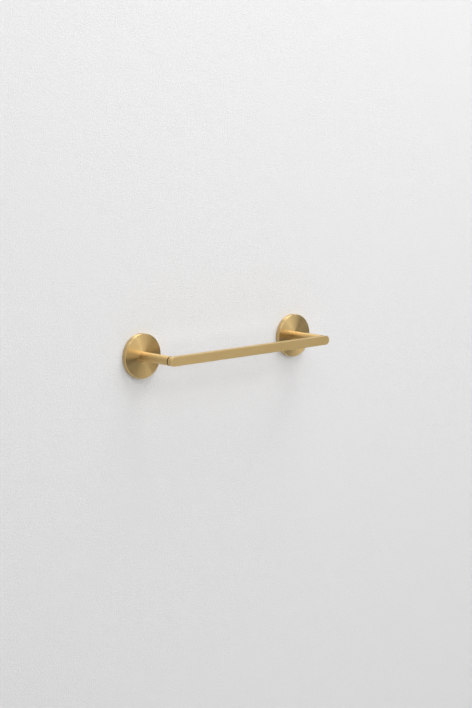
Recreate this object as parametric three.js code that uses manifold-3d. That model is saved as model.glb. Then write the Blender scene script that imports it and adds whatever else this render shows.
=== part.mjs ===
// Wall-mounted towel rack: a flat bar with round ends, carried by two round posts on two round rosettes.
// Millimetres. The origin is on the wall's surface, midway between the posts and level with their axes.
// +X runs along the bar, -Y leaves the wall towards the user and +Z is up.
import * as THREE from "three";
import { mergeVertices } from "three/addons/utils/BufferGeometryUtils.js";
import Module from "manifold-3d";

const wasm = await Module();
wasm.setup();

// ---- Driving dimensions ----

const seatGap = 0.1; // between two flat faces that bear on each other
const fitGap = 0.15; // all round a screw in its thread, a head in its countersink or a ring on its stud

const barLength = 300; // overall, tip to tip
const barHeight = 13; // also the diameter of the bar's ends and of the posts
const barThickness = 7;
const barEdge = 0.5; // rounding of the bar's long edges
const barFrontWall = 2.4; // left in front of the blind holes in the bar's back
const projection = 72; // from the wall to the bar's front face

const seamWidth = 1; // shadow groove between the post and the bar
const seamDepth = 1.3; // how far the spacer ring stands back inside the post's diameter

const postEdge = 0.3; // small chamfer at both ends of the post
const postThreadDepth = 14; // blind tapped hole at each end of the post

const rosetteDiameter = 62;
const rosetteDepth = 7; // from the wall to the rim of the face
const rosetteCrown = 0.8; // how much further out the face is at the post
const rosetteEdge = 0.6; // rounding between the rim and the face
const rosetteRimWall = 3.5;
const rosetteFaceWall = 2;
const rosetteWallGap = 0.4; // behind the rim, so that it clears an uneven wall

const bracketRimGap = 0.5; // between the bracket and the inside of the rosette's rim
const bracketFaceGap = 0.6; // between the bracket and the inside of the rosette's face
const bracketBevel = 1.4; // the grub screw pulls on this bevel: the bracket is narrower at the wall
const bracketHoleGap = 1.6; // round the head of the post screw

const machineScrewRadius = 2.5; // post screw and bar stud
const postScrewLength = 16; // under the head
const postScrewHeadRadius = 4.4;
const postScrewHeadHeight = 2.4;
const studInPost = 12;
const hexSocketRadius = 1.7; // across corners, halved
const hexSocketDepth = 1.5;

const grubScrewRadius = 1.5;
const grubScrewInset = 0.4; // outer end of the grub screw below the rim's surface
const grubSocketRadius = 0.85;
const grubPointRadius = 0.75;

const wallScrewRadius = 2;
const wallScrewLength = 35;
const wallScrewHeadRadius = 4;
const wallScrewPoint = 4; // length of the pointed tip
const crossRecessLength = 4.4;
const crossRecessWidth = 0.9;
const crossRecessDepth = 1.2;

const plugWall = 0.9;
const plugLength = 30;
const plugInset = 0.5; // mouth of the plug below the wall's surface
const plugSlitWidth = 0.8;
const plugCollar = 8; // whole length of the sleeve before its slits begin
const plugTaper = 0.35; // how much the plug's tip narrows, at its radius

// ---- Sizes that follow ----

const postRadius = barHeight / 2;
const postSpacing = barLength - barHeight; // the bar's round ends are concentric with the posts
const rosetteRadius = rosetteDiameter / 2;
const cupRadius = rosetteRadius - rosetteRimWall;
const cupDepth = rosetteDepth - rosetteFaceWall; // from the wall to the inside of the face
const postStart = rosetteDepth + rosetteCrown + seatGap;
const barBack = projection - barThickness;
const postEnd = barBack - seamWidth;
const threadHoleRadius = machineScrewRadius + fitGap;

const bracketRadius = cupRadius - bracketRimGap;
const bracketThickness = cupDepth - bracketFaceGap;
const bracketHoleRadius = postScrewHeadRadius + bracketHoleGap;
const wallScrewOffset = (bracketHoleRadius + bracketRadius) / 2; // middle of the bracket's land
const plugBoreRadius = wallScrewRadius + fitGap;
const plugRadius = plugBoreRadius + plugWall;

const grubScrewDepth = (rosetteWallGap + cupDepth) / 2; // its axis is halfway through the rim
const bevelDepth = grubScrewDepth + grubPointRadius + seatGap; // from the wall to the bracket's lip

// ---- Materials ----

const finish = (color, roughness, metalness) =>
  new THREE.MeshStandardMaterial({ color, roughness, metalness });
const satinBrass = () => finish(0xc3a267, 0.36, 1);
const steel = () => finish(0xb4b6b8, 0.38, 1);
const nylon = () => finish(0x9a9c9e, 0.6, 0);

// ---- Geometry helpers ----

// Closed outline of [radius, height] points, turned about +Y.
function turned(outline, segments) {
  const points = outline.map(([radius, height]) => new THREE.Vector2(radius, height));
  if (THREE.ShapeUtils.area(points) < 0) points.reverse();
  const onAxis = points[0].x === 0;
  if (!onAxis) points.push(points[0].clone());
  return new THREE.LatheGeometry(points, segments);
}

// Quarter of a circle that rounds an outline's corner, from one angle to the other in radians.
function roundedCorner([radius, height], size, from, to, steps = 3) {
  return Array.from({ length: steps + 1 }, (_, i) => {
    const angle = from + ((to - from) * i) / steps;
    return [radius + size * Math.cos(angle), height + size * Math.sin(angle)];
  });
}

function cylinder(radius, from, to, segments) {
  return turned(
    [
      [0, from],
      [radius, from],
      [radius, to],
      [0, to],
    ],
    segments,
  );
}

// Six-sided driver socket whose open end is at height `mouth` and whose floor is at `floor`.
function hexSocket(radius, mouth, floor) {
  return new THREE.CylinderGeometry(radius, radius, Math.abs(mouth - floor), 6).translate(
    0,
    (mouth + floor) / 2,
    0,
  );
}

// Solid for cutting and joining: only positions are kept, so that shared vertices merge.
function solid(geometry) {
  const bare = new THREE.BufferGeometry();
  const source = geometry.index ? geometry.toNonIndexed() : geometry;
  bare.setAttribute("position", source.getAttribute("position").clone());
  const merged = mergeVertices(bare, 1e-4);
  return new wasm.Manifold(
    new wasm.Mesh({
      numProp: 3,
      vertProperties: merged.attributes.position.array,
      triVerts: new Uint32Array(merged.index.array),
    }),
  );
}

// The blank with every cutter taken out of it.
function cut(blank, ...cutters) {
  const result = cutters.reduce((rest, cutter) => rest.subtract(solid(cutter)), solid(blank));
  const { vertProperties, triVerts } = result.getMesh();
  const geometry = new THREE.BufferGeometry();
  geometry.setAttribute("position", new THREE.BufferAttribute(vertProperties, 3));
  geometry.setIndex(new THREE.BufferAttribute(triVerts, 1));
  geometry.computeVertexNormals();
  return geometry;
}

function piece(name, geometry, material) {
  const mesh = new THREE.Mesh(geometry, material);
  mesh.name = name;
  return mesh;
}

// ---- The bar ----

function bar() {
  const halfSpan = postSpacing / 2;
  const outline = new THREE.Shape()
    .absarc(halfSpan, 0, postRadius, -Math.PI / 2, Math.PI / 2)
    .absarc(-halfSpan, 0, postRadius, Math.PI / 2, (3 * Math.PI) / 2);
  const strip = new THREE.ExtrudeGeometry(outline, {
    depth: barThickness - 2 * barEdge,
    bevelThickness: barEdge,
    bevelSize: barEdge,
    bevelOffset: -barEdge,
    bevelSegments: 2,
    curveSegments: 20,
  })
    .translate(0, 0, barEdge)
    .rotateX(Math.PI / 2)
    .translate(0, -barBack, 0);
  const threadHoles = [-halfSpan, halfSpan].map((x) =>
    cylinder(threadHoleRadius, -seamWidth, barThickness - barFrontWall, 24)
      .rotateX(Math.PI)
      .translate(x, -barBack, 0),
  );
  return piece("bar", cut(strip, ...threadHoles), satinBrass());
}

// ---- One end: every piece is turned about +Y, which leaves the wall; +Z points down ----

function rosette(name) {
  const face = rosetteDepth - rosetteEdge;
  const cap = turned(
    [
      [cupRadius, rosetteWallGap],
      [rosetteRadius, rosetteWallGap],
      ...roundedCorner([rosetteRadius - rosetteEdge, face], rosetteEdge, 0, Math.PI / 2),
      [postRadius, rosetteDepth + rosetteCrown],
      [threadHoleRadius, rosetteDepth + rosetteCrown],
      [threadHoleRadius, cupDepth],
      [cupRadius, cupDepth],
    ],
    64,
  );
  const grubHole = cylinder(grubScrewRadius + fitGap, cupRadius - 1, rosetteRadius + 1, 20)
    .rotateX(Math.PI / 2)
    .translate(0, grubScrewDepth, 0);
  return piece(name, cut(cap, grubHole), satinBrass());
}

function post(name) {
  const threadFloor = machineScrewRadius / 2; // height of the drill's cone at the end of each hole
  const rod = turned(
    [
      [threadHoleRadius, postStart],
      [postRadius - postEdge, postStart],
      [postRadius, postStart + postEdge],
      [postRadius, postEnd - postEdge],
      [postRadius - postEdge, postEnd],
      [threadHoleRadius, postEnd],
      [threadHoleRadius, postEnd - postThreadDepth],
      [0, postEnd - postThreadDepth - threadFloor],
      [0, postStart + postThreadDepth + threadFloor],
      [threadHoleRadius, postStart + postThreadDepth],
    ],
    40,
  );
  return piece(name, rod, satinBrass());
}

function spacerRing(name) {
  const ring = turned(
    [
      [threadHoleRadius, postEnd + seatGap],
      [postRadius - seamDepth, postEnd + seatGap],
      [postRadius - seamDepth, barBack - seatGap],
      [threadHoleRadius, barBack - seatGap],
    ],
    28,
  );
  return piece(name, ring, satinBrass());
}

function barStud(name) {
  const tip = barBack + barThickness - barFrontWall - seatGap;
  const chamfer = machineScrewRadius / 4;
  const rod = turned(
    [
      [0, postEnd - studInPost],
      [machineScrewRadius - chamfer, postEnd - studInPost],
      [machineScrewRadius, postEnd - studInPost + chamfer],
      [machineScrewRadius, tip - chamfer],
      [machineScrewRadius - chamfer, tip],
      [0, tip],
    ],
    20,
  );
  const socket = hexSocket(hexSocketRadius, tip + 1, tip - hexSocketDepth);
  return piece(name, cut(rod, socket), steel());
}

function postScrew(name) {
  const seat = cupDepth - seatGap; // underside of the head, against the inside of the face
  const back = seat - postScrewHeadHeight;
  const edge = 0.4;
  const screw = turned(
    [
      [0, back],
      [postScrewHeadRadius - edge, back],
      [postScrewHeadRadius, back + edge],
      [postScrewHeadRadius, seat],
      [machineScrewRadius, seat],
      [machineScrewRadius, seat + postScrewLength - edge],
      [machineScrewRadius - edge, seat + postScrewLength],
      [0, seat + postScrewLength],
    ],
    24,
  );
  const socket = hexSocket(hexSocketRadius, back - 1, back + hexSocketDepth);
  return piece(name, cut(screw, socket), steel());
}

function grubScrew(name) {
  const reach = grubScrewDepth + grubPointRadius; // where the flat of the point meets the bevel
  const slope = bracketBevel / bevelDepth;
  const point = bracketRadius - bracketBevel + slope * reach + fitGap;
  const outer = rosetteRadius - grubScrewInset;
  const screw = turned(
    [
      [0, point],
      [grubPointRadius, point],
      [grubScrewRadius, point + grubScrewRadius - grubPointRadius],
      [grubScrewRadius, outer],
      [0, outer],
    ],
    20,
  );
  const socket = hexSocket(grubSocketRadius, outer + 1, outer - hexSocketDepth);
  const mesh = piece(name, cut(screw, socket), steel());
  mesh.rotation.x = Math.PI / 2; // its axis points down, out of the rosette's rim
  mesh.position.y = grubScrewDepth;
  return mesh;
}

function wallBracket(name) {
  const disc = turned(
    [
      [bracketHoleRadius, 0],
      [bracketRadius - bracketBevel, 0],
      [bracketRadius, bevelDepth],
      [bracketRadius, bracketThickness],
      [bracketHoleRadius, bracketThickness],
    ],
    56,
  );
  const mouth = wallScrewHeadRadius + fitGap;
  const throat = wallScrewRadius + fitGap;
  const countersinks = [-wallScrewOffset, wallScrewOffset].map((x) =>
    turned(
      [
        [0, -1],
        [throat, -1],
        [throat, bracketThickness - (mouth - throat)],
        [mouth + 1, bracketThickness + 1],
        [0, bracketThickness + 1],
      ],
      24,
    ).translate(x, 0, 0),
  );
  return piece(name, cut(disc, ...countersinks), steel());
}

function wallScrew(name, x) {
  const top = bracketThickness - seatGap;
  const neck = top - (wallScrewHeadRadius - wallScrewRadius);
  const tip = top - wallScrewLength;
  const screw = turned(
    [
      [0, tip],
      [wallScrewRadius, tip + wallScrewPoint],
      [wallScrewRadius, neck],
      [wallScrewHeadRadius, top],
      [0, top],
    ],
    24,
  );
  const slot = (width, length) =>
    new THREE.BoxGeometry(width, 2 * crossRecessDepth, length).translate(0, top, 0);
  const recess = [
    slot(crossRecessWidth, crossRecessLength),
    slot(crossRecessLength, crossRecessWidth),
  ];
  const mesh = piece(name, cut(screw, ...recess), steel());
  mesh.position.x = x;
  return mesh;
}

function wallPlug(name, x) {
  const mouth = -plugInset;
  const tip = mouth - plugLength;
  const sleeve = turned(
    [
      [plugBoreRadius, tip],
      [plugRadius - plugTaper, tip],
      [plugRadius, mouth - plugCollar],
      [plugRadius, mouth],
      [plugBoreRadius, mouth],
    ],
    24,
  );
  const slitLength = plugLength - plugCollar;
  const slit = new THREE.BoxGeometry(plugSlitWidth, slitLength, 2 * plugRadius + 1).translate(
    0,
    tip + slitLength / 2 - 1,
    0,
  );
  const mesh = piece(name, cut(sleeve, slit), nylon());
  mesh.position.x = x;
  return mesh;
}

// Side is "left" or "right" as the user faces the wall.
function end(side) {
  const away = side === "left" ? -1 : 1; // direction from the middle of the rack to this end
  const group = new THREE.Group();
  group.position.x = (away * postSpacing) / 2;
  group.rotation.x = Math.PI;
  group.add(
    rosette(`${side}_rosette`),
    post(`${side}_post`),
    spacerRing(`${side}_spacer_ring`),
    barStud(`${side}_bar_stud`),
    postScrew(`${side}_post_screw`),
    grubScrew(`${side}_grub_screw`),
    wallBracket(`${side}_wall_bracket`),
  );
  for (const [where, x] of [
    ["inner", -away * wallScrewOffset],
    ["outer", away * wallScrewOffset],
  ]) {
    group.add(wallScrew(`${side}_wall_screw_${where}`, x));
    group.add(wallPlug(`${side}_wall_plug_${where}`, x));
  }
  return group;
}

const towelRack = new THREE.Group();
towelRack.add(bar(), end("left"), end("right"));

export default towelRack;
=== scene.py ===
"""Satin brass towel rack: its finished pieces, their finishes and a plain studio around them.

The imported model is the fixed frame. Places and main sizes are read from the boxes of its nodes. What the
boxes don't hold, such as edge roundings and thread pitches, is a named field of the class that uses it.
All lengths are metres. The wall's surface is the plane y = 0, and -Y leaves the wall.
"""

from __future__ import annotations

import logging
import math
from dataclasses import dataclass, field, fields
from enum import Enum
from typing import Callable

import bpy
from mathutils import Matrix, Vector

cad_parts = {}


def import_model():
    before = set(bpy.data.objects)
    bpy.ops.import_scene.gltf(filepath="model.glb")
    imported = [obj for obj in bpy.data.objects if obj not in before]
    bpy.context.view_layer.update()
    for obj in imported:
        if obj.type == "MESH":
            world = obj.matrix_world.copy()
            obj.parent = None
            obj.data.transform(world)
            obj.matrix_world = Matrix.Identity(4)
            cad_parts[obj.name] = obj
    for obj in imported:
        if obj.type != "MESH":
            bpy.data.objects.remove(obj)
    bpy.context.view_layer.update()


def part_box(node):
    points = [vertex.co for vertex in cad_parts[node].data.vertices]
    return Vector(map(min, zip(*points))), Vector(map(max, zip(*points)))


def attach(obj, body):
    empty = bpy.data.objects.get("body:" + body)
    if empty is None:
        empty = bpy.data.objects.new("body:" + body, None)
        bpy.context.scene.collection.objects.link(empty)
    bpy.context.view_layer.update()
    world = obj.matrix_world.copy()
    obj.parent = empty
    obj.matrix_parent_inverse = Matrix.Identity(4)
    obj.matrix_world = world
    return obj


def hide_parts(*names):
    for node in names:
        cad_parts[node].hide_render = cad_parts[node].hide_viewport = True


LOG = logging.getLogger("towel_rack")
BODY = "root"
GRAIN_UV = "grain"  # U crosses the brushing and V follows it
EDGE = "edge"  # point attribute, 1 on rounded edges and 0 elsewhere
RUN = "run"  # point attribute, distance along an outline
MM = 0.001
TINY = 0.001 * MM  # points nearer than this are merged
FLAT_NORMAL = 0.7  # a face whose normal lies this much along the axis counts as flat
TURN_RUN = 0.01  # how far the grain's V moves in one radian of turn
OPENING_STEPS = 96
CREASE = math.radians(35)

Point = tuple[float, float]
Span = tuple[float, float]
Triple = tuple[float, float, float]
Object = bpy.types.Object
Material = bpy.types.Material
Node = bpy.types.Node
Tree = bpy.types.NodeTree
Socket = bpy.types.NodeSocket


# ---- Node trees ----


class Graph:
    """Adds nodes to a tree and links them as they are made."""

    def __init__(self, tree: Tree) -> None:
        """Starts on a tree.

        Args:
            tree: The geometry or shader tree to add to.
        """
        self.tree = tree

    def add(self, kind: str, inputs: dict | None = None, **settings: object) -> Node:
        """Adds one node.

        Args:
            kind: The node's bl_idname.
            inputs: Socket name or index to a value, or to the socket that feeds it.
            **settings: Properties of the node itself.

        Returns:
            The new node.
        """
        node = self.tree.nodes.new(kind)
        for name, value in settings.items():
            setattr(node, name, value)
        for key, value in (inputs or {}).items():
            self.feed(node.inputs[key], value)
        return node

    def out(self, kind: str, inputs: dict | None = None, **settings: object) -> Socket:
        """Adds one node as add does, and returns its first output."""
        return self.add(kind, inputs, **settings).outputs[0]

    def feed(self, socket: Socket, value: object) -> None:
        """Links a socket to another one, or sets its own value."""
        if isinstance(value, Socket):
            self.tree.links.new(value, socket)
        else:
            socket.default_value = value

    def math(self, operation: str, *values: object, clamp: bool = False) -> Socket:
        """Adds a Math node.

        Args:
            operation: The node's operation.
            *values: Its operands, numbers or sockets.
            clamp: Whether the result is kept between 0 and 1.

        Returns:
            The node's result.
        """
        inputs = dict(enumerate(values))
        return self.out("ShaderNodeMath", inputs, operation=operation, use_clamp=clamp)

    def vector(self, x: object = 0.0, y: object = 0.0, z: object = 0.0) -> Socket:
        """Joins three numbers or sockets into a vector and returns its socket."""
        return self.out("ShaderNodeCombineXYZ", {0: x, 1: y, 2: z})

    def scaled(self, vector: object, factor: object) -> Socket:
        """Multiplies a vector or a colour by a number and returns the result."""
        return self.out("ShaderNodeVectorMath", {0: vector, "Scale": factor}, operation="SCALE")

    def split(self, vector: Socket) -> list[Socket]:
        """Returns a vector's x, y and z sockets."""
        return list(self.add("ShaderNodeSeparateXYZ", {0: vector}).outputs)


def new_geometry_tree(name: str, **inputs: str) -> tuple[Graph, Node]:
    """Makes an empty geometry tree with named inputs.

    Args:
        name: The tree's name.
        **inputs: Socket type, such as Float, to the names of its inputs.

    Returns:
        The tree's graph and its input node.
    """
    tree = bpy.data.node_groups.new(name, "GeometryNodeTree")
    tree.interface.new_socket("Geometry", in_out="INPUT", socket_type="NodeSocketGeometry")
    for kind, labels in inputs.items():
        for label in labels.split(", "):
            tree.interface.new_socket(label, in_out="INPUT", socket_type=f"NodeSocket{kind}")
    tree.interface.new_socket("Geometry", in_out="OUTPUT", socket_type="NodeSocketGeometry")
    return Graph(tree), tree.nodes.new("NodeGroupInput")


def close_geometry_tree(graph: Graph, geometry: Socket, material: Socket) -> Tree:
    """Ends a geometry tree with real meshes and their material, and returns the tree."""
    real = graph.out("GeometryNodeRealizeInstances", {0: geometry})
    dressed = graph.out("GeometryNodeSetMaterial", {"Geometry": real, "Material": material})
    graph.add("NodeGroupOutput", {0: dressed})
    return graph.tree


def bake(obj: Object, tree: Tree, values: dict[str, object]) -> None:
    """Runs a geometry tree on an object and keeps the result as its plain mesh.

    Args:
        obj: The object, whose mesh is the tree's input and is replaced.
        tree: The tree to run.
        values: Input name to value.
    """
    modifier = obj.modifiers.new(tree.name, "NODES")
    modifier.node_group = tree
    for item in tree.interface.items_tree:
        if item.in_out == "INPUT" and item.name in values:
            modifier[item.identifier] = values[item.name]
    graph = bpy.context.evaluated_depsgraph_get()
    mesh = bpy.data.meshes.new_from_object(obj.evaluated_get(graph), depsgraph=graph)
    obj.modifiers.remove(modifier)
    mesh.polygons.foreach_set("material_index", [0] * len(mesh.polygons))
    mesh.materials.clear()
    mesh.materials.append(values["Material"])
    old, obj.data = obj.data, mesh
    mesh.name = obj.name
    bpy.data.meshes.remove(old)


def turning_tree() -> Tree:
    """Builds the tree that turns an outline about the Y axis.

    The outline's vertices, in order, hold radius in x and height in y. Stretch pulls the two halves
    apart along X, which makes a bar with round ends. A thread is a helical ridge between two heights.

    Returns:
        The geometry tree.
    """
    graph, given = new_geometry_tree(
        "turned",
        Int="Segments",
        Float="Stretch, Thread Pitch, Thread Depth, Thread From, Thread To",
        Bool="Straight Grain",
        Material="Material",
    )
    size = given.outputs
    outline, segments = size["Geometry"], size["Segments"]
    rows = graph.add("GeometryNodeAttributeDomainSize", {0: outline}).outputs["Point Count"]
    columns = graph.math("ADD", segments, 3)  # the half turn and the full turn have a second column each
    grid = graph.out("GeometryNodeMeshGrid", {"Vertices X": columns, "Vertices Y": rows})
    index = graph.out("GeometryNodeInputIndex")
    row = graph.math("MODULO", index, rows)
    column = graph.math("FLOOR", graph.math("DIVIDE", index, rows))
    half = graph.math("DIVIDE", segments, 2)
    second = graph.math("GREATER_THAN", column, half)
    last = graph.math("GREATER_THAN", column, graph.math("ADD", segments, 1.5))  # the last column alone
    repeats = graph.math("ADD", second, last)
    angle = graph.math("DIVIDE", graph.math("SUBTRACT", column, repeats), segments)
    angle = graph.math("MULTIPLY", angle, 2 * math.pi)

    def sampled(value: Socket, kind: str) -> Socket:
        """Reads an outline value at this vertex's row."""
        inputs = {"Geometry": outline, "Value": value, "Index": row}
        return graph.out("GeometryNodeSampleIndex", inputs, data_type=kind)

    def named(name: str) -> Socket:
        """Reads a number stored under a name."""
        return graph.out("GeometryNodeInputNamedAttribute", {0: name}, data_type="FLOAT")

    position = graph.out("GeometryNodeInputPosition")
    radius, height, _ = graph.split(sampled(position, "FLOAT_VECTOR"))
    run = sampled(named(RUN), "FLOAT")
    edge = sampled(named(EDGE), "FLOAT")

    pitch = graph.math("MAXIMUM", size["Thread Pitch"], TINY)
    turns = graph.math("DIVIDE", angle, 2 * math.pi)
    phase = graph.math("FRACT", graph.math("SUBTRACT", graph.math("DIVIDE", height, pitch), turns))
    slope = graph.math("ABSOLUTE", graph.math("MULTIPLY_ADD", phase, 2.0, -1.0))
    ridge = graph.math("SUBTRACT", 1.0, slope)
    low = graph.math("SUBTRACT", height, size["Thread From"])
    high = graph.math("SUBTRACT", size["Thread To"], height)
    fade = graph.math("DIVIDE", graph.math("MINIMUM", low, high), pitch, clamp=True)
    depth = graph.math("MINIMUM", size["Thread Depth"], graph.math("MULTIPLY", radius, 0.5))
    groove = graph.math("MULTIPLY", graph.math("SUBTRACT", 1.0, ridge), depth)
    radius = graph.math("SUBTRACT", radius, graph.math("MULTIPLY", groove, fade))

    side = graph.math("MULTIPLY_ADD", graph.math("SUBTRACT", second, last), -2.0, 1.0)
    shift = graph.math("MULTIPLY", graph.math("MULTIPLY", side, size["Stretch"]), 0.5)
    x = graph.math("ADD", graph.math("MULTIPLY", radius, graph.math("SINE", angle)), shift)
    z = graph.math("MULTIPLY", radius, graph.math("COSINE", angle))
    store = graph.out("GeometryNodeSetPosition", {0: grid, "Position": graph.vector(x, height, z)})

    around = graph.math("MULTIPLY_ADD", angle, TURN_RUN, graph.math("MULTIPLY", shift, -1.0))
    for name, value in ((RUN, run), ("around", around), (EDGE, edge)):
        inputs = {"Geometry": store, "Name": name, "Value": value}
        store = graph.out("GeometryNodeStoreNamedAttribute", inputs, data_type="FLOAT")

    turned_uv = graph.vector(named(RUN), named("around"))
    across = graph.split(graph.add("GeometryNodeInputPosition").outputs[0])
    straight_uv = graph.vector(across[2], across[0])
    normal = graph.split(graph.add("GeometryNodeInputNormal").outputs[0])
    is_flat = graph.math("GREATER_THAN", graph.math("ABSOLUTE", normal[1]), FLAT_NORMAL)
    flat_face = graph.out("GeometryNodeFieldOnDomain", {0: is_flat}, domain="FACE", data_type="FLOAT")
    use_straight = graph.math("MULTIPLY", flat_face, size["Straight Grain"])
    inputs = {0: use_straight, 4: turned_uv, 5: straight_uv}
    uv = graph.add("ShaderNodeMix", inputs, data_type="VECTOR").outputs[1]
    inputs = {"Geometry": store, "Name": GRAIN_UV, "Value": uv}
    store = graph.out("GeometryNodeStoreNamedAttribute", inputs, data_type="FLOAT2", domain="CORNER")
    merged = graph.out("GeometryNodeMergeByDistance", {0: store, "Distance": TINY})
    smooth = graph.out("GeometryNodeSetShadeSmooth", {0: merged})
    return close_geometry_tree(graph, smooth, size["Material"])


def cutting_tree() -> Tree:
    """Builds the tree that cuts a row of equal holes out of a piece.

    A hole is a straight or tapered prism about the Y axis. Each one of the row is turned further about
    its own axis than the last, and the whole row is then aimed and put in its place.

    Returns:
        The geometry tree.
    """
    graph, given = new_geometry_tree(
        "cut",
        Int="Sides, Count",
        Float="Low, High, Low Radius, High Radius, Squeeze, Spacing, Turn",
        Vector="Aim, Place",
        Material="Material",
    )
    size = given.outputs
    inputs = {
        "Vertices": size["Sides"],
        "Radius Top": size["High Radius"],
        "Radius Bottom": size["Low Radius"],
        "Depth": graph.math("SUBTRACT", size["High"], size["Low"]),
    }
    prism = graph.out("GeometryNodeMeshCone", inputs)
    flat_side = graph.vector(z=graph.math("DIVIDE", math.pi, size["Sides"]))
    prism = graph.out("GeometryNodeTransform", {"Geometry": prism, "Rotation": flat_side})
    inputs = {
        "Geometry": prism,
        "Translation": graph.vector(y=size["Low"]),
        "Rotation": (-math.pi / 2, 0.0, 0.0),
        "Scale": graph.vector(size["Squeeze"], 1.0, 1.0),
    }
    prism = graph.out("GeometryNodeTransform", inputs)

    gaps = graph.math("SUBTRACT", size["Count"], 1.0)
    start = graph.math("MULTIPLY", graph.math("MULTIPLY", gaps, size["Spacing"]), -0.5)
    inputs = {
        "Count": size["Count"],
        "Start Location": graph.vector(start),
        "Offset": graph.vector(size["Spacing"]),
    }
    row = graph.out("GeometryNodeMeshLine", inputs)
    index = graph.out("GeometryNodeInputIndex")
    turned = graph.vector(y=graph.math("MULTIPLY", index, size["Turn"]))
    inputs = {"Points": row, "Instance": prism, "Rotation": turned}
    holes = graph.out("GeometryNodeInstanceOnPoints", inputs)
    inputs = {"Geometry": holes, "Translation": size["Place"], "Rotation": size["Aim"]}
    holes = graph.out("GeometryNodeTransform", inputs)
    holes = graph.out("GeometryNodeRealizeInstances", {0: holes})
    inputs = {"Mesh 1": size["Geometry"], "Mesh 2": holes, "Self Intersection": True}
    left = graph.out("GeometryNodeMeshBoolean", inputs, operation="DIFFERENCE", solver="EXACT")
    clean = graph.out("GeometryNodeMergeByDistance", {0: left, "Distance": 2 * TINY})
    return close_geometry_tree(graph, clean, size["Material"])


def opened_wall_tree() -> Tree:
    """Builds the tree that makes an upright sheet with two round openings.

    Returns:
        The geometry tree.
    """
    graph, given = new_geometry_tree(
        "opened_wall",
        Float="Width, Height, Foot, Radius, Spacing, Depth",
        Material="Material",
    )
    size = given.outputs
    inputs = {"Width": size["Width"], "Height": size["Height"]}
    sheet = graph.out("GeometryNodeCurvePrimitiveQuadrilateral", inputs)
    middle = graph.math("MULTIPLY_ADD", size["Height"], 0.5, size["Foot"])
    inputs = {"Geometry": sheet, "Translation": graph.vector(y=middle)}
    sheet = graph.out("GeometryNodeTransform", inputs)
    inputs = {"Resolution": OPENING_STEPS, "Radius": size["Radius"]}
    ring = graph.out("GeometryNodeCurvePrimitiveCircle", inputs)
    inputs = {
        "Count": 2,
        "Start Location": graph.vector(graph.math("MULTIPLY", size["Spacing"], -0.5)),
        "Offset": graph.vector(size["Spacing"]),
    }
    row = graph.out("GeometryNodeMeshLine", inputs)
    rings = graph.out("GeometryNodeInstanceOnPoints", {"Points": row, "Instance": ring})
    rings = graph.out("GeometryNodeRealizeInstances", {0: rings})
    outlines = graph.add("GeometryNodeJoinGeometry", {0: sheet})
    graph.feed(outlines.inputs[0], rings)
    filled = graph.out("GeometryNodeFillCurve", {0: outlines.outputs[0]}, mode="TRIANGLES")
    inputs = {
        "Geometry": filled,
        "Translation": graph.vector(y=size["Depth"]),
        "Rotation": (math.pi / 2, 0.0, 0.0),
    }
    upright = graph.out("GeometryNodeTransform", inputs)
    return close_geometry_tree(graph, upright, size["Material"])


# ---- Outlines ----


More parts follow.
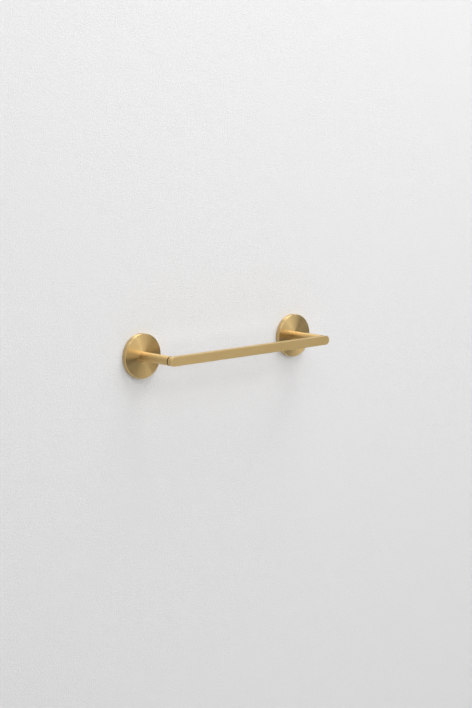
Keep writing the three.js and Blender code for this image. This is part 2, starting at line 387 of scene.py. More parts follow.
@dataclass
class Outline:
    """A half section, as (radius, height) points from the axis or round a closed loop."""

    points: list[Point] = field(default_factory=list)
    edges: list[bool] = field(default_factory=list)

    def to(self, *points: Point) -> Outline:
        """Adds straight runs to the given points and returns the outline."""
        self.points += points
        self.edges += [False] * len(points)
        return self

    def arc(self, centre: Point, size: float, start: float, stop: float, steps: int = 6) -> Outline:
        """Adds a stretch of a circle.

        Args:
            centre: The circle's centre.
            size: Its radius.
            start: First angle in degrees, 0 outwards and 90 up.
            stop: Last angle in degrees.
            steps: Number of straight steps.

        Returns:
            The outline.
        """
        for i in range(steps + 1):
            angle = math.radians(start + (stop - start) * i / steps)
            self.points.append((centre[0] + size * math.cos(angle), centre[1] + size * math.sin(angle)))
            self.edges.append(True)
        return self

    def close(self) -> Outline:
        """Ends a loop on its first point and returns the outline."""
        return self.to(self.points[0])

    def refined(self, shares: Callable[[Point, Point], list[float]]) -> Outline:
        """Puts more points on the runs.

        Args:
            shares: Takes a run's two ends and gives the new points' places as shares of its length.

        Returns:
            A new outline.
        """
        made = Outline([self.points[0]], [self.edges[0]])
        for start, stop, is_edge in zip(self.points, self.points[1:], self.edges[1:]):
            for share in shares(start, stop):
                made.to(tuple(a + (b - a) * share for a, b in zip(start, stop)))
            made.points.append(stop)
            made.edges.append(is_edge)
        return made

    def held(self, margin: float = 0.12 * MM) -> Outline:
        """Puts points close to both ends of each long run, so that rounded edges shade crisply.

        Args:
            margin: How far from the ends they go.

        Returns:
            A new outline.
        """

        def near_ends(start: Point, stop: Point) -> list[float]:
            """Gives the places close to the ends of a run that is long enough."""
            length = math.dist(start, stop)
            return [margin / length, 1 - margin / length] if length > 4 * margin else []

        return self.refined(near_ends)

    def divided(self, low: float, high: float, step: float) -> Outline:
        """Cuts the runs between two heights into short steps, for a thread.

        Args:
            low: Height where the fine steps begin.
            high: Height where they end.
            step: Length of a step.

        Returns:
            A new outline.
        """

        def evenly(start: Point, stop: Point) -> list[float]:
            """Gives even places on a run that is off the axis and between the heights."""
            rise = abs(stop[1] - start[1])
            inside = min(start[1], stop[1]) < high and max(start[1], stop[1]) > low
            steps = math.ceil(rise / step) if inside and min(start[0], stop[0]) > 0 else 1
            return [i / steps for i in range(1, steps)]

        return self.refined(evenly)

    def mesh(self, name: str) -> bpy.types.Mesh:
        """Makes the outline a chain of edges, with its edge marks and its running length.

        Args:
            name: The mesh's name.

        Returns:
            The mesh.
        """
        mesh = bpy.data.meshes.new(name)
        chain = [(i, i + 1) for i in range(len(self.points) - 1)]
        mesh.from_pydata([(radius, height, 0.0) for radius, height in self.points], chain, [])
        run = [0.0]
        for start, stop in zip(self.points, self.points[1:]):
            run.append(run[-1] + math.dist(start, stop))
        for label, values in ((RUN, run), (EDGE, [float(e) for e in self.edges])):
            mesh.attributes.new(label, "FLOAT", "POINT").data.foreach_set("value", values)
        return mesh


@dataclass(frozen=True)
class Thread:
    """A screw thread between two heights."""

    low: float
    high: float
    pitch: float = 0.8 * MM
    depth: float = 0.45 * MM
    rows_per_turn: int = 6


def turned_piece(
    name: str,
    outline: Outline,
    material: Material,
    segments: int = 128,
    stretch: float = 0.0,
    straight_grain: bool = False,
    thread: Thread | None = None,
) -> Object:
    """Turns an outline into a solid about the Y axis, with its height outwards.

    Args:
        name: The piece's name.
        outline: Its half section.
        material: Its finish.
        segments: Number of flats round the turn, even.
        stretch: How far the two halves are pulled apart along X.
        straight_grain: Whether flat faces are brushed along X instead of round the axis.
        thread: The thread cut into it, if any.

    Returns:
        The piece, with a plain mesh.
    """
    if thread:
        outline = outline.divided(thread.low, thread.high, thread.pitch / thread.rows_per_turn)
    obj = bpy.data.objects.new(name, outline.mesh(name))
    bpy.context.scene.collection.objects.link(obj)
    values = {
        "Segments": segments,
        "Stretch": stretch,
        "Straight Grain": straight_grain,
        "Material": material,
    }
    if thread:
        values |= {
            "Thread Pitch": thread.pitch,
            "Thread Depth": thread.depth,
            "Thread From": thread.low,
            "Thread To": thread.high,
        }
    bake(obj, bpy.data.node_groups.get("turned") or turning_tree(), values)
    return obj


@dataclass(frozen=True)
class Cut:
    """A row of equal holes between two heights, each a straight or tapered prism."""

    low: float
    high: float
    low_radius: float
    high_radius: float
    sides: int = 40
    squeeze: float = 1.0
    count: int = 1
    spacing: float = 0.0
    turn: float = 0.0
    aim: Triple = (0.0, 0.0, 0.0)
    place: Triple = (0.0, 0.0, 0.0)

    def take_from(self, obj: Object) -> Object:
        """Cuts the holes out of a piece.

        Args:
            obj: The piece, whose mesh is replaced.

        Returns:
            The same piece.
        """
        values = {item.name.replace("_", " ").title(): getattr(self, item.name) for item in fields(self)}
        values["Material"] = obj.data.materials[0]
        bake(obj, bpy.data.node_groups.get("cut") or cutting_tree(), values)
        return obj


# ---- Finishes ----


class Grain(Enum):
    """Direction of the fine lines that a finish leaves."""

    LENGTHWISE = "lengthwise"
    TURNED = "turned"


def new_material(name: str) -> tuple[Graph, Node, Socket]:
    """Makes a material with one Principled shader.

    Args:
        name: The material's name.

    Returns:
        Its graph, its shader node and the Object coordinates.
    """
    material = bpy.data.materials.new(name)
    material.use_nodes = True
    graph = Graph(material.node_tree)
    graph.tree.nodes.clear()
    shader = graph.add("ShaderNodeBsdfPrincipled", distribution="GGX")
    graph.add("ShaderNodeOutputMaterial", {"Surface": shader.outputs[0]})
    return graph, shader, graph.add("ShaderNodeTexCoord").outputs["Object"]


def noise(graph: Graph, vector: Socket, scale: float, detail: float = 2.0) -> Socket:
    """Adds a noise texture and returns its value."""
    inputs = {"Vector": vector, "Scale": scale, "Detail": detail}
    return graph.out("ShaderNodeTexNoise", inputs)


def mapped(graph: Graph, value: Socket, low: float, high: float) -> Socket:
    """Maps a 0 to 1 value to a range and returns the result."""
    return graph.math("MULTIPLY_ADD", value, high - low, low)


def blended(graph: Graph, share: Socket, *colours: Socket | Triple) -> Socket:
    """Mixes two colours by a share from 0 to 1 and returns the result."""
    first, second = (each if isinstance(each, Socket) else (*each, 1.0) for each in colours)
    inputs = {0: share, 6: first, 7: second}
    return graph.add("ShaderNodeMix", inputs, data_type="RGBA").outputs[2]


def emboss(graph: Graph, shader: Node, heights: Socket, strength: float, depth: float) -> None:
    """Gives a shader a fine relief.

    Args:
        graph: The material's graph.
        shader: Its Principled shader.
        heights: The relief, from 0 to 1.
        strength: How much of it shows.
        depth: How deep it is.
    """
    inputs = {"Strength": strength, "Distance": depth, "Height": heights}
    graph.feed(shader.inputs["Normal"], graph.out("ShaderNodeBump", inputs))


@dataclass(frozen=True)
class SatinBrass:
    """Solid brass, brushed to a satin and lacquered."""

    name: str
    grain: Grain
    axis_x: float = 0.0
    colour: Triple = (0.77, 0.555, 0.255)
    warm: Triple = (0.73, 0.51, 0.22)
    worn: Triple = (0.80, 0.62, 0.34)
    roughness: Span = (0.38, 0.50)
    anisotropy: float = 0.8
    line_density: float = 5200.0
    line_stretch: float = 60.0
    drift_density: float = 55.0
    speckle_density: float = 2600.0
    patina_density: float = 38.0
    line_tone: Span = (0.89, 1.11)
    speckle_tone: Span = (0.93, 1.07)
    wear: float = 0.5
    edge_polish: float = 0.85
    bump: float = 0.05
    bump_depth: float = 0.02 * MM
    speckle_height: float = 0.6
    # Painted shade: a near-black colour on whatever lies farther from the wall than the given height, for
    # the shadow in a groove; infinity leaves none.
    dull: Triple = (0.04, 0.027, 0.013)
    dull_from: float = math.inf

    def material(self) -> Material:
        """Builds the material and returns it."""
        graph, shader, place = new_material(self.name)
        x, y, z = graph.split(place)
        if self.grain is Grain.TURNED:
            x = graph.math("SUBTRACT", x, self.axis_x)
            squares = graph.math("ADD", graph.math("MULTIPLY", x, x), graph.math("MULTIPLY", z, z))
            across = graph.math("SUBTRACT", graph.math("SQRT", squares), y)
            lines = graph.math("MULTIPLY", across, self.line_density)
            lines = graph.vector(lines, self.line_stretch, 0.0)
            drift = graph.scaled(graph.vector(x, y, z), self.drift_density)
            lines = graph.out("ShaderNodeVectorMath", {0: lines, 1: drift})
        else:
            along = graph.math("MULTIPLY", x, self.line_stretch)
            fine_y = graph.math("MULTIPLY", y, self.line_density)
            fine_z = graph.math("MULTIPLY", z, self.line_density)
            lines = graph.vector(along, fine_y, fine_z)
        brushing = noise(graph, lines, 1.0, 3.0)
        speckle = noise(graph, place, self.speckle_density)
        patina = noise(graph, place, self.patina_density, 3.0)
        edge = graph.add("ShaderNodeAttribute", attribute_name=EDGE).outputs["Fac"]

        tone = blended(graph, patina, self.colour, self.warm)
        grained = mapped(graph, brushing, *self.line_tone)
        grained = graph.math("MULTIPLY", grained, mapped(graph, speckle, *self.speckle_tone))
        tone = graph.scaled(tone, grained)
        tone = blended(graph, graph.math("MULTIPLY", edge, self.wear), tone, self.worn)
        # Painted shade: farther from the wall than the given height, the colour turns near-black, standing
        # in for the shadow in a groove.
        if math.isfinite(self.dull_from):
            inside = graph.math("LESS_THAN", y, -self.dull_from)
            tone = blended(graph, inside, tone, self.dull)
        graph.feed(shader.inputs["Base Color"], tone)
        rough = mapped(graph, brushing, *self.roughness)
        rough = graph.math("MULTIPLY", rough, mapped(graph, edge, 1.0, self.edge_polish))
        graph.feed(shader.inputs["Roughness"], rough)
        shader.inputs["Metallic"].default_value = 1.0
        shader.inputs["Anisotropic"].default_value = self.anisotropy
        tangent = graph.out("ShaderNodeTangent", direction_type="UV_MAP", uv_map=GRAIN_UV)
        graph.feed(shader.inputs["Tangent"], tangent)
        heights = graph.math("ADD", brushing, graph.math("MULTIPLY", speckle, self.speckle_height))
        emboss(graph, shader, heights, self.bump, self.bump_depth)
        return bpy.data.materials[self.name]


@dataclass(frozen=True)
class PlainFinish:
    """An even finish with faint clouds, for the hidden fixings: machined or plated steel."""

    name: str
    colour: Triple = (0.55, 0.56, 0.57)
    cloud: Triple = (0.42, 0.44, 0.47)
    roughness: Span = (0.24, 0.42)
    metallic: float = 1.0
    clouds_shine: bool = True
    cloud_density: float = 260.0
    cloud_detail: float = 4.0
    fine_density: float = 9000.0
    bump: float = 0.08
    bump_depth: float = 0.02 * MM

    def material(self) -> Material:
        """Builds the material and returns it."""
        graph, shader, place = new_material(self.name)
        clouds = noise(graph, place, self.cloud_density, self.cloud_detail)
        fine = noise(graph, place, self.fine_density)
        tone = blended(graph, clouds, self.colour, self.cloud)
        graph.feed(shader.inputs["Base Color"], tone)
        rough = mapped(graph, clouds if self.clouds_shine else fine, *self.roughness)
        graph.feed(shader.inputs["Roughness"], rough)
        shader.inputs["Metallic"].default_value = self.metallic
        emboss(graph, shader, fine, self.bump, self.bump_depth)
        return bpy.data.materials[self.name]


@dataclass(frozen=True)
class MouldedNylon(PlainFinish):
    """Grey injection-moulded nylon of the wall plugs, with the same clouds and relief."""

    colour: Triple = (0.30, 0.31, 0.32)
    cloud: Triple = (0.38, 0.39, 0.40)
    roughness: Span = (0.42, 0.6)
    metallic: float = 0.0
    clouds_shine: bool = False
    cloud_density: float = 420.0
    cloud_detail: float = 3.0
    fine_density: float = 5200.0
    bump: float = 0.2
    bump_depth: float = 0.03 * MM


@dataclass(frozen=True)
class RolledPaint:
    """Matt wall or floor paint with the fine stipple of a roller."""

    name: str
    colour: Triple = (0.80, 0.80, 0.80)
    stipple: float = 0.95
    stipple_depth: float = 0.5 * MM
    seen_from_behind: bool = True
    grain_density: float = 560.0
    grain_tone: Span = (0.9, 1.1)
    wave_density: float = 26.0
    wave_height: float = 0.8
    roughness: float = 0.85
    specular: float = 0.2

    def material(self) -> Material:
        """Builds the material and returns it.

        A wall that isn't seen from behind lets a viewer behind it see what is fixed to it.
        """
        graph, shader, place = new_material(self.name)
        grains = noise(graph, place, self.grain_density, 4.0)
        waves = noise(graph, place, self.wave_density)
        tone = graph.scaled(self.colour, mapped(graph, grains, *self.grain_tone))
        graph.feed(shader.inputs["Base Color"], tone)
        shader.inputs["Roughness"].default_value = self.roughness
        shader.inputs["Specular IOR Level"].default_value = self.specular
        heights = graph.math("ADD", grains, graph.math("MULTIPLY", waves, self.wave_height))
        emboss(graph, shader, heights, self.stipple, self.stipple_depth)
        if not self.seen_from_behind:
            back = graph.add("ShaderNodeNewGeometry").outputs["Backfacing"]
            clear = graph.out("ShaderNodeBsdfTransparent")
            mixed = graph.out("ShaderNodeMixShader", {0: back, 1: shader.outputs[0], 2: clear})
            graph.feed(graph.tree.nodes["Material Output"].inputs["Surface"], mixed)
        return bpy.data.materials[self.name]


# ---- Sub-assemblies ----


@dataclass(frozen=True)
class Box:
    """The box of one CAD node, read along the wall and out of it."""

    node: str

    @property
    def x(self) -> float:
        """Middle of the node along the bar."""
        low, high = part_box(self.node)
        return (low.x + high.x) / 2

    @property
    def near(self) -> float:
        """Height above the wall where the node begins."""
        return -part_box(self.node)[1].y

    @property
    def far(self) -> float:
        """Height above the wall where the node ends."""
        return -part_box(self.node)[0].y

    @property
    def middle(self) -> float:
        """Height above the wall of the node's middle."""
        return (self.near + self.far) / 2

    @property
    def radius(self) -> float:
        """Half of the node's upright extent."""
        low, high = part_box(self.node)
        return (high.z - low.z) / 2

    @property
    def place(self) -> Matrix:
        """Takes a turned piece to the node's place along the bar, with its own +Y out of the wall."""
        return Matrix.Translation((self.x, 0, 0)) @ OUT_OF_WALL


@dataclass
class End:
    """One end of the rack, left or right, whose pieces share its name."""

    side: str

    def named(self, what: str) -> str:
        """Returns the full name of this end's node or piece."""
        return f"{self.side}_{what}"

    def box(self, what: str) -> Box:
        """Returns the box of one of this end's nodes."""
        return Box(self.named(what))

    def brass(self, name: str, what: str, **looks: object) -> Material:
        """Builds a brass that is brushed round the axis of one of this end's nodes.

        Args:
            name: The material's name.
            what: The node, without the end's name.
            **looks: Fields of the finish.

        Returns:
            The material.
        """
        return SatinBrass(name, Grain.TURNED, self.box(what).x, **looks).material()


OUT_OF_WALL = Matrix.Rotation(math.pi, 4, "X")  # turns a piece's own +Y to -Y, away from the wall
DOWN_THE_RIM = (math.pi / 2, 0.0, 0.0)  # turns a piece's own +Y to its +Z, which OUT_OF_WALL makes -Z


def hand_over(obj: Object, place: Matrix, node: str) -> None:
    """Puts a finished piece in its place and ties it to the frame.

    Args:
        obj: The piece, whose object stays at the origin.
        place: Where its mesh goes.
        node: The CAD node that it stands for.
    """
    mesh = obj.data
    mesh.transform(place)
    mesh.set_sharp_from_angle(angle=CREASE)
    mesh.update()
    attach(obj, BODY)
    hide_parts(node)
    LOG.info("%s stands for %s: %d faces", obj.name, node, len(mesh.polygons))


@dataclass
class Bar:
    """The flat bar with round ends."""

    edge: float = 0.5 * MM
    bore: float = 2.65 * MM
    bore_depth: float = 4.6 * MM
    segments: int = 192
    finish: SatinBrass = SatinBrass("satin_brass_bar", Grain.LENGTHWISE)

    def outline(self) -> Outline:
        """Returns the half section of the strip."""
        box = Box("bar")
        side, back, front = box.radius, box.near, box.far
        made = Outline().to((0.0, back))
        made.arc((side - self.edge, back + self.edge), self.edge, -90, 0)
        made.arc((side - self.edge, front - self.edge), self.edge, 0, 90)
        return made.to((0.0, front)).held()

    def build(self) -> Object:
        """Builds the bar and returns it."""
        low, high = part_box("bar")
        spacing = (high.x - low.x) - (high.z - low.z)
        finish = self.finish.material()
        strip = turned_piece("bar_strip", self.outline(), finish, self.segments, spacing, True)
        back = Box("bar").near
        mouth, floor = back - self.bore, back + self.bore_depth
        return Cut(mouth, floor, self.bore, self.bore, count=2, spacing=spacing).take_from(strip)

    def dress(self, obj: Object) -> None:
        """Places the bar and ties it to the frame."""
        hand_over(obj, OUT_OF_WALL, "bar")


@dataclass
class Rosette(End):
    """The shallow turned cap against the wall."""

    edge: float = 0.6 * MM
    back_edge: float = 0.25 * MM
    crown: float = 0.8 * MM
    rim_wall: float = 3.5 * MM
    cup_depth: float = 5.0 * MM
    bore: float = 2.65 * MM
    grub_bore: float = 1.65 * MM
    grub_bore_reach: float = 5.25 * MM
    segments: int = 224
    roughness: Span = (0.30, 0.42)
    anisotropy: float = 0.97

    def outline(self) -> Outline:
        """Returns the section of the cap."""
        box, post = self.box("rosette"), self.box("post")
        rim, back, rise = box.radius, box.near, box.far
        face = rise - self.crown
        cup = rim - self.rim_wall
        made = Outline().to((cup, back))
        made.arc((rim - self.back_edge, back + self.back_edge), self.back_edge, -90, 0, 3)
        made.arc((rim - self.edge, face - self.edge), self.edge, 0, 90, 8)
        made.to((post.radius, rise), (self.bore, rise), (self.bore, self.cup_depth))
        return made.to((cup, self.cup_depth)).close().held()

    def build(self) -> Object:
        """Builds the cap and returns it."""
        box, bore = self.box("rosette"), self.grub_bore
        looks = {"roughness": self.roughness, "anisotropy": self.anisotropy}
        finish = self.brass(f"satin_brass_{self.side}_rosette", "rosette", **looks)
        cap = turned_piece(self.named("rosette_cap"), self.outline(), finish, self.segments)
        inside, outside = box.radius - self.grub_bore_reach, box.radius + bore
        place = (0, self.box("grub_screw").middle, 0)
        return Cut(inside, outside, bore, bore, aim=DOWN_THE_RIM, place=place).take_from(cap)

    def dress(self, obj: Object) -> None:
        """Places the cap and ties it to the frame."""
        hand_over(obj, self.box("rosette").place, self.named("rosette"))


@dataclass
class Post(End):
    """The round post, with the spacer ring at its front."""

    edge: float = 0.45 * MM
    bore: float = 2.65 * MM
    bore_depth: float = 14.0 * MM
    segments: int = 96
    roughness: Span = (0.34, 0.46)
    anisotropy: float = 0.92
    # Painted shade: the spacer ring's near-black brass colours stand in for the shadow in the seam groove.
    aged: Triple = (0.05, 0.034, 0.016)
    aged_warm: Triple = (0.035, 0.022, 0.01)
    seam_ring_anisotropy: float = 0.5

    def rod_outline(self) -> Outline:
        """Returns the section of the rod, with a tapped hole in each end."""
        box = self.box("post")
        side, near, far = box.radius, box.near, box.far
        cone = self.bore / 2
        made = Outline().to((0.0, near + self.bore_depth + cone), (self.bore, near + self.bore_depth))
        made.to((self.bore, near))
        made.arc((side - self.edge, near + self.edge), self.edge, -90, 0, 4)
        made.arc((side - self.edge, far - self.edge), self.edge, 0, 90, 4)
        made.to((self.bore, far), (self.bore, far - self.bore_depth))
        return made.to((0.0, far - self.bore_depth - cone)).held()

    def ring_outline(self) -> Outline:
        """Returns the section of the spacer ring."""
        box = self.box("spacer_ring")
        side, near, far = box.radius, box.near, box.far
        edge = self.edge / 4
        made = Outline().to((self.bore, near))
        made.arc((side - edge, near + edge), edge, -90, 0, 3)
        made.arc((side - edge, far - edge), edge, 0, 90, 3)
        return made.to((self.bore, far)).close().held()

    def build(self) -> list[Object]:
        """Builds the rod and the ring and returns them.

        Both carry painted shade: the rod's front face and the whole ring are near-black, standing in for
        the shadow in the groove behind the bar.
        """
        looks = {"roughness": self.roughness, "anisotropy": self.anisotropy}
        # Painted shade on the rod's front face, past its front rounding, for the shadow in the groove.
        looks["dull_from"] = self.box("post").far - self.edge
        bright = self.brass(f"satin_brass_{self.side}_post", "post", **looks)
        rod = turned_piece(self.named("post_rod"), self.rod_outline(), bright, self.segments)
        # Painted shade: the ring takes near-black brass for the shadow in the groove.
        looks = {"colour": self.aged, "warm": self.aged_warm, "worn": self.aged}
        looks["anisotropy"] = self.seam_ring_anisotropy
        dark = self.brass(f"aged_brass_{self.side}_ring", "post", **looks)
        ring = turned_piece(self.named("seam_ring"), self.ring_outline(), dark, self.segments)
        return [rod, ring]

    def dress(self, rod: Object, ring: Object) -> None:
        """Places the rod and the ring and ties them to the frame."""
        place = self.box("post").place
        hand_over(rod, place, self.named("post"))
        hand_over(ring, place, self.named("spacer_ring"))


@dataclass
class JointScrews(End):
    """The screws of one end that hold its rosette, its post and the bar to each other."""

    chamfer: float = 0.6 * MM
    head_height: float = 2.4 * MM
    head_edge: float = 0.4 * MM
    socket: float = 1.7 * MM
    socket_depth: float = 1.5 * MM
    grub_point: float = 0.75 * MM
    grub_socket: float = 0.85 * MM
    coarse_pitch: float = 0.8 * MM
    fine_pitch: float = 0.5 * MM
    fine_depth: float = 0.25 * MM
    segments: int = 36

    @property
    def finish(self) -> PlainFinish:
        """Bright stainless steel, one material for each end."""
        return PlainFinish(f"stainless_steel_{self.side}")

    def driven(self, what: str, outline: Outline, thread: Thread, end: float, socket: float) -> Object:
        """Builds a threaded piece with a six-sided socket in one end.

        Args:
            what: The piece, without the end's name.
            outline: Its half section.
            thread: Its thread.
            end: Height of the end that holds the socket.
            socket: The socket's size across its corners, halved.

        Returns:
            The piece.
        """
        steel = bpy.data.materials.get(self.finish.name) or self.finish.material()
        rod = turned_piece(self.named(what), outline, steel, self.segments, thread=thread)
        low, high = end - self.socket_depth, end + self.socket_depth
        return Cut(low, high, socket, socket, sides=6).take_from(rod)

    def stud(self) -> Object:
        """Builds the threaded stud that joins the post and the bar."""
        box = self.box("bar_stud")
        side, near, far, slope = box.radius, box.near, box.far, self.chamfer
        outline = Outline().to((0.0, near), (side - slope, near), (side, near + slope))
        outline.to((side, far - slope), (side - slope, far), (0.0, far))
        thread = Thread(near + slope / 2, far - slope / 2, self.coarse_pitch)
        return self.driven("threaded_stud", outline, thread, far, self.socket)

    def cap_screw(self) -> Object:
        """Builds the socket head screw that pulls the post onto the rosette."""
        box = self.box("post_screw")
        head, back, tip = box.radius, box.near, box.far
        shank, seat, slope = self.box("bar_stud").radius, back + self.head_height, self.head_edge
        outline = Outline().to((0.0, back))
        outline.arc((head - slope, back + slope), slope, -90, 0, 4)
        outline.to((head, seat), (shank, seat), (shank, tip - slope), (shank - slope, tip), (0.0, tip))
        thread = Thread(seat + self.coarse_pitch, tip - slope / 2, self.coarse_pitch)
        return self.driven("cap_screw", outline, thread, back, self.socket)

    def set_screw(self) -> Object:
        """Builds the set screw under the rim, which locks the rosette on its bracket."""
        low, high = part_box(self.named("grub_screw"))
        side, point, outer = (high.x - low.x) / 2, -high.z, -low.z
        slope = self.chamfer / 3
        outline = Outline().to((0.0, point), (self.grub_point, point))
        outline.to((side, point + side - self.grub_point), (side, outer - slope))
        outline.to((side - slope, outer), (0.0, outer))
        thread = Thread(point + side - self.grub_point, outer, self.fine_pitch, self.fine_depth)
        return self.driven("set_screw", outline, thread, outer, self.grub_socket)

    def build(self) -> list[Object]:
        """Builds the three screws and returns them."""
        return [self.stud(), self.cap_screw(), self.set_screw()]

    def dress(self, stud: Object, cap_screw: Object, set_screw: Object) -> None:
        """Places the screws and ties them to the frame."""
        axis = self.box("post").place
        down = Matrix.Rotation(DOWN_THE_RIM[0], 4, "X")
        lift = Matrix.Translation((0, self.box("grub_screw").middle, 0))
        hand_over(stud, axis, self.named("bar_stud"))
        hand_over(cap_screw, axis, self.named("post_screw"))
        hand_over(set_screw, axis @ lift @ down, self.named("grub_screw"))


@dataclass
class WallFixing(End):
    """What holds one rosette to the wall: a bracket, two countersunk screws and their plugs."""

    bracket_bore: float = 6.0 * MM
    bevel: float = 1.4 * MM
    bevel_height: float = 3.55 * MM
    bracket_edge: float = 0.2 * MM
    shank: float = 2.0 * MM
    fit: float = 0.15 * MM
    head_rim: float = 0.12 * MM
    point: float = 4.0 * MM
    plain_shank: float = 5.0 * MM
    wood_pitch: float = 1.8 * MM
    wood_depth: float = 0.6 * MM
    wood_rows: int = 8
    recess_length: float = 4.4 * MM
    recess_width: float = 0.9 * MM
    recess_depth: float = 1.2 * MM
    recess_taper: float = 0.6
    plug_collar: float = 8.0 * MM
    plug_taper: float = 0.35 * MM
    rib_pitch: float = 2.2 * MM
    rib_height: float = 0.32 * MM
    slit: float = 0.8 * MM
    segments: int = 40

    def screw_node(self, where: str) -> str:
        """Returns the name of one wall screw's node."""
        return self.named(f"wall_screw_{where}")

    def plug_node(self, where: str) -> str:
        """Returns the name of one wall plug's node."""
        return self.named(f"wall_plug_{where}")

    def bracket(self, material: Material) -> Object:
        """Builds the bevelled disc with its two countersunk holes."""
        box, edge, bore = self.box("wall_bracket"), self.bracket_edge, self.bracket_bore
        side, near, far = box.radius, box.near, box.far
        foot = side - self.bevel
        outline = Outline().to((bore, near + edge), (bore + edge, near), (foot - edge, near))
        outline.to((foot, near + edge), (side, self.bevel_height))
        outline.arc((side - edge, far - edge), edge, 0, 90, 4)
        outline.to((bore + edge, far), (bore, far - edge)).close()
        disc = turned_piece(self.named("bracket_disc"), outline, material, 4 * self.segments)
        inner, outer = (Box(self.screw_node(where)) for where in ("inner", "outer"))
        spacing, throat = abs(inner.x - outer.x), self.shank + self.fit
        mouth = inner.radius + self.fit
        Cut(near - mouth, far + mouth, throat, throat, count=2, spacing=spacing).take_from(disc)
        low = far - (mouth - throat)
        cone = Cut(low, far + self.fit, throat, mouth + self.fit, count=2, spacing=spacing)
        return cone.take_from(disc)

    def screw(self, where: str, material: Material) -> Object:
        """Builds one countersunk wood screw with its cross recess."""
        box = Box(self.screw_node(where))
        head, tip, top, shank = box.radius, box.near, box.far, self.shank
        rim = top - self.head_rim
        neck = rim - (head - shank)
        outline = Outline().to((0.0, tip), (shank, tip + self.point), (shank, neck))
        outline.to((head, rim), (head, top), (0.0, top))
        low, high = tip + self.wood_pitch / 3, neck - self.plain_shank
        thread = Thread(low, high, self.wood_pitch, self.wood_depth, self.wood_rows)
        name = f"{self.side}_{where}_wood_screw"
        screw = turned_piece(name, outline, material, self.segments, thread=thread)
        corner, squeeze = self.recess_length / math.sqrt(2), self.recess_width / self.recess_length
        low, high = top - self.recess_depth, top + self.recess_depth
        narrow, wide = corner * self.recess_taper, corner * (2 - self.recess_taper)
        return Cut(low, high, narrow, wide, 4, squeeze, 2, turn=math.pi / 2).take_from(screw)

    def plug(self, where: str, material: Material) -> Object:
        """Builds one split plug with barbed ribs."""
        box = Box(self.plug_node(where))
        side, tip, mouth, bore = box.radius, box.near, box.far, self.shank + self.fit
        ribbed = mouth - self.plug_collar - tip
        count = int(ribbed / self.rib_pitch)
        outline = Outline().to((bore, tip), (side - self.plug_taper - self.rib_height, tip))
        for i in range(1, count + 1):
            crest = side - self.plug_taper * (1 - i / count)
            height = tip + ribbed * i / count
            outline.to((crest, height - self.rib_pitch / 5), (crest - self.rib_height, height))
        collar = mouth - self.plug_collar + self.rib_pitch / 2
        outline.to((side, collar), (side, mouth), (bore, mouth)).close()
        sleeve = turned_piece(f"{self.side}_{where}_ribbed_plug", outline, material, self.segments)
        corner = side * math.sqrt(2)
        low, high = tip - side, mouth - self.plug_collar - self.rib_pitch / 2
        return Cut(low, high, corner, corner, 4, self.slit / (2 * side)).take_from(sleeve)

    def build(self) -> dict[str, Object]:
        """Builds every piece and returns them by the node that each stands for."""
        zinc = PlainFinish(
            f"zinc_plated_steel_{self.side}", (0.60, 0.61, 0.60), (0.46, 0.48, 0.50), (0.30, 0.48)
        ).material()
        nylon = MouldedNylon(f"grey_nylon_{self.side}").material()
        made = {f"{self.side}_wall_bracket": self.bracket(zinc)}
        for where in ("inner", "outer"):
            made[self.screw_node(where)] = self.screw(where, zinc)
            made[self.plug_node(where)] = self.plug(where, nylon)
        return made

    def dress(self, made: dict[str, Object]) -> None:
        """Places the pieces and ties them to the frame."""
        for node, obj in made.items():
            hand_over(obj, Box(node).place, node)


# ---- The studio ----


def aim(obj: Object, azimuth: float, elevation: float, distance: float, centre: Triple) -> None:
    """Adds a lamp or a camera to the scene and points it at a place.

    Args:
        obj: The lamp or camera.
        azimuth: Degrees to the right of straight in front.
        elevation: Degrees upwards.
        distance: How far from the place it stands.
        centre: The place.
    """
    turn, rise = math.radians(azimuth), math.radians(elevation)
    out = Vector((math.sin(turn) * math.cos(rise), -math.cos(turn) * math.cos(rise), math.sin(rise)))
    obj.location = Vector(centre) + out * distance
    obj.rotation_euler = (-out).to_track_quat("-Z", "Y").to_euler()
    bpy.context.scene.collection.objects.link(obj)


@dataclass(frozen=True)
class SoftLight:
    """A soft box that points at the rack from a direction in degrees, 0, 0 being straight in front."""

    name: str
    azimuth: float
    elevation: float
    power: float
    distance: float = 2.9
    size: Span = (1.8, 1.5)

    def build(self) -> Object:
        """Makes the lamp and returns it."""
        lamp = bpy.data.lights.new(self.name, "AREA")
        lamp.shape = "RECTANGLE"
        lamp.size, lamp.size_y = self.size
        lamp.energy = self.power
        obj = bpy.data.objects.new(self.name, lamp)
        aim(obj, self.azimuth, self.elevation, self.distance, (0.0, 0.0, 0.0))
        return obj


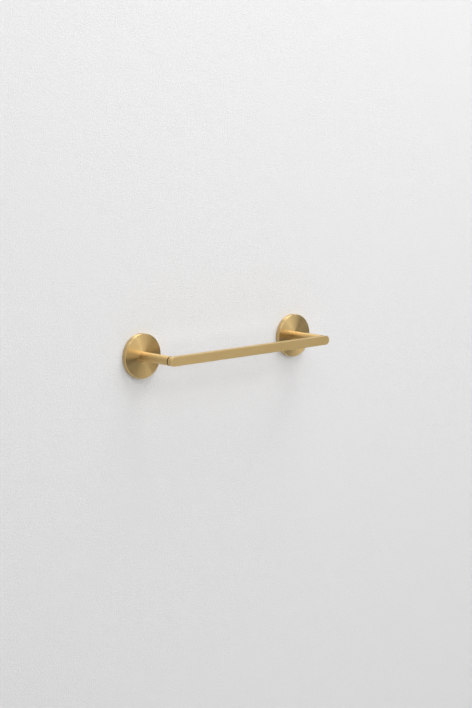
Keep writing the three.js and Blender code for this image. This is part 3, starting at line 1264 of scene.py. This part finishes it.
@dataclass
class Studio:
    """The plain wall and floor, the soft light and the camera."""

    wall_gap: float = 0.2 * MM
    opening_margin: float = 0.6 * MM
    floor_height: float = -1.2
    floor_colour: Triple = (0.66, 0.66, 0.66)
    floor_stipple: float = 0.1
    extent: float = 3.0
    world: float = 0.08
    azimuth: float = -42.53
    elevation: float = 8.97
    distance: float = 2.632
    look_at: Triple = (0.0337, 0.0, -0.01655)
    lens: float = 93.76
    lights: tuple[SoftLight, ...] = (
        SoftLight("overhead", 35.0, 72.0, 57.0),
        SoftLight("key", -30.0, 42.0, 20.0),
        SoftLight("front_top", 7.0, 24.0, 16.0),
        SoftLight("right_top", 50.0, 40.0, 6.0),
        SoftLight("right", 42.0, 20.0, 13.0),
        SoftLight("front_left", -12.0, 4.0, 13.0),
        SoftLight("far_right", 76.0, -8.0, 8.0),
    )

    def backdrop(self, name: str, corners: list[Triple]) -> Object:
        """Makes a sheet that isn't part of the rack and returns it.

        Args:
            name: The sheet's name.
            corners: Its corners in order.

        Returns:
            The sheet.
        """
        mesh = bpy.data.meshes.new(name)
        mesh.from_pydata(corners, [], [tuple(range(len(corners)))])
        obj = bpy.data.objects.new(name, mesh)
        bpy.context.scene.collection.objects.link(obj)
        return obj

    def wall(self) -> None:
        """Makes the wall, open behind each bracket, so that the brackets and plugs show from behind."""
        left, right = Box("left_wall_bracket"), Box("right_wall_bracket")
        size, low, y = self.extent, self.floor_height, self.wall_gap
        values = {
            "Width": 2 * size,
            "Height": size - low,
            "Foot": low,
            "Radius": left.radius - self.opening_margin,
            "Spacing": right.x - left.x,
            "Depth": y,
            "Material": RolledPaint("wall_paint", seen_from_behind=False).material(),
        }
        obj = self.backdrop("studio_wall", [(-size, y, low), (size, y, low), (size, y, size)])
        bake(obj, opened_wall_tree(), values)

    def floor(self) -> None:
        """Makes the grey floor."""
        size, low = self.extent, self.floor_height
        corners = [(-size, -size, low), (size, -size, low), (size, size, low), (-size, size, low)]
        paint = RolledPaint("floor_paint", self.floor_colour, self.floor_stipple)
        self.backdrop("studio_floor", corners).data.materials.append(paint.material())

    def camera(self) -> None:
        """Makes the camera and makes it the scene's own."""
        camera = bpy.data.objects.new("camera", bpy.data.cameras.new("camera"))
        camera.data.lens = self.lens
        aim(camera, self.azimuth, self.elevation, self.distance, self.look_at)
        bpy.context.scene.camera = camera

    def light(self) -> None:
        """Makes the lamps and the faint, even light of the surroundings."""
        for lamp in self.lights:
            lamp.build()
        world = bpy.data.worlds.new("studio")
        world.use_nodes = True
        background = world.node_tree.nodes["Background"]
        background.inputs["Color"].default_value = (1.0, 1.0, 1.0, 1.0)
        background.inputs["Strength"].default_value = self.world
        bpy.context.scene.world = world
        bpy.context.scene.view_settings.view_transform = "Standard"

    def build(self) -> None:
        """Makes the whole studio."""
        self.camera()
        self.wall()
        self.floor()
        self.light()


def main() -> None:
    """Builds the rack and the studio, and reports each piece."""
    logging.basicConfig(level=logging.INFO, format="%(name)s: %(message)s")
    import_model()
    Studio().build()
    bar = Bar()
    bar.dress(bar.build())
    for side in ("left", "right"):
        rosette, post, screws, fixing = Rosette(side), Post(side), JointScrews(side), WallFixing(side)
        rosette.dress(rosette.build())
        post.dress(*post.build())
        screws.dress(*screws.build())
        fixing.dress(fixing.build())


if __name__ == "__main__":
    main()
